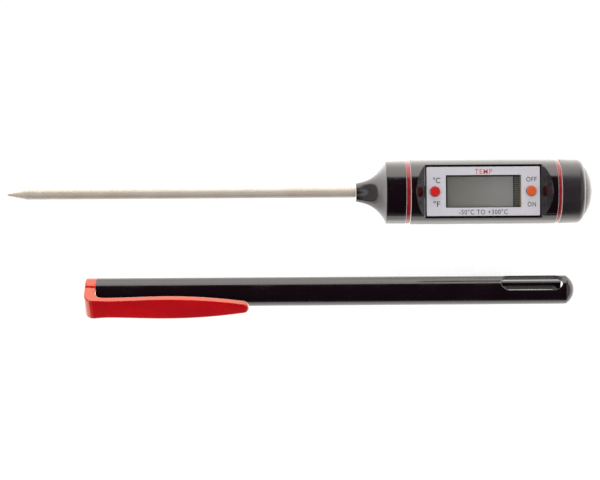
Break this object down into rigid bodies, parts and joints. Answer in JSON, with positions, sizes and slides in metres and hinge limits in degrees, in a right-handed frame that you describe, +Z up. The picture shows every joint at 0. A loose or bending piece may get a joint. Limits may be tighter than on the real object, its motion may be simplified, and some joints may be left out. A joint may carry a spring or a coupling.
{
  "type": "darkroom thermometer",
  "caption": "Pen-shaped digital probe thermometer with a display and two push buttons, beside its slotted pocket sheath with a clip.",
  "frame": {"origin": "on the surface the set rests on, under the middle of its outline", "axes": "+X along the thermometer from its tip towards the battery cap, +Y from the sheath towards the thermometer, +Z up, out of the display"},
  "size_m": [0.24, 0.065, 0.0264],
  "materials": {
    "black_plastic": "glossy, lightly scuffed",
    "red_plastic": "glossy",
    "red_rubber": "satin",
    "orange_plastic": "satin",
    "steel": "satin",
    "label": "satin printed film",
    "window": "clear",
    "lcd_front": "grey",
    "lcd_rear": "grey",
    "elastomer": "matt",
    "inner_plastic": "matt",
    "ivory_plastic": "matt",
    "board": "satin",
    "resin": "glossy",
    "plated": "plated",
    "gold_plated": "plated",
    "wire_black": "satin",
    "wire_red": "satin",
    "potting": "matt"
  },
  "bodies": {
    "handle": {"probe_tube": "steel", "probe_tip": "steel", "thermistor_bead": "resin", "thermal_potting": "potting", "sensor_leads": "wire_black", "crimp_collar": "gold_plated", "nose_cone": "black_plastic", "front_ring": "red_rubber", "barrel": "black_plastic", "face_label": "label", "display_window": "window", "lcd_front_glass": "lcd_front", "lcd_rear_glass": "lcd_rear", "contact_strip": "elastomer", "lcd_frame": "inner_plastic", "frame_screws": "plated", "circuit_board": "board", "chip_blob": "resin", "board_parts": "inner_plastic", "left_switch": "inner_plastic", "right_switch": "inner_plastic", "rear_plug": "black_plastic", "battery_holder": "inner_plastic", "battery_spring": "plated", "battery_contact": "gold_plated", "battery_wires": "wire_red"},
    "unit_key": {"left_button": "red_plastic", "left_plunger": "ivory_plastic"},
    "power_key": {"right_button": "orange_plastic", "right_plunger": "ivory_plastic"},
    "cap_ring": {"rear_ring": "red_rubber"},
    "cap": {"battery_cap": "black_plastic", "battery_cell": "plated"},
    "sheath": {"sheath_tube": "black_plastic", "clip_ring": "red_plastic"},
    "clip": {"clip_arm": "red_plastic"}
  },
  "joints": [
    {"name": "unit_press", "type": "slide", "parent": "handle", "child": "unit_key", "axis": [0, 0, -1], "range_m": [0, 0.0005], "stiffness_N_per_m": 2000},
    {"name": "power_press", "type": "slide", "parent": "handle", "child": "power_key", "axis": [0, 0, -1], "range_m": [0, 0.0005], "stiffness_N_per_m": 2000},
    {"name": "cap_travel", "type": "slide", "parent": "handle", "child": "cap_ring", "axis": [1, 0, 0], "range_m": [0, 0.0035]},
    {"name": "cap_unscrew", "type": "hinge", "parent": "cap_ring", "child": "cap", "pos_m": [0.106, 0.01927, 0.0132], "axis": [1, 0, 0], "range_deg": [0, 720]},
    {"name": "sheath_draw", "type": "slide", "parent": "handle", "child": "sheath", "axis": [1, 0, 0], "range_m": [-0.15, 0.15]},
    {"name": "clip_flex", "type": "hinge", "parent": "sheath", "child": "clip", "pos_m": [-0.0812, -0.02835, 0.0141], "axis": [0, -0.749, -0.6626], "range_deg": [0, 5], "stiffness_Nm_per_rad": 2.5}
  ],
  "couplings": [
    {"joint": "cap_travel", "follows": "cap_unscrew", "m_per_rad": 0.00027852}
  ]
}
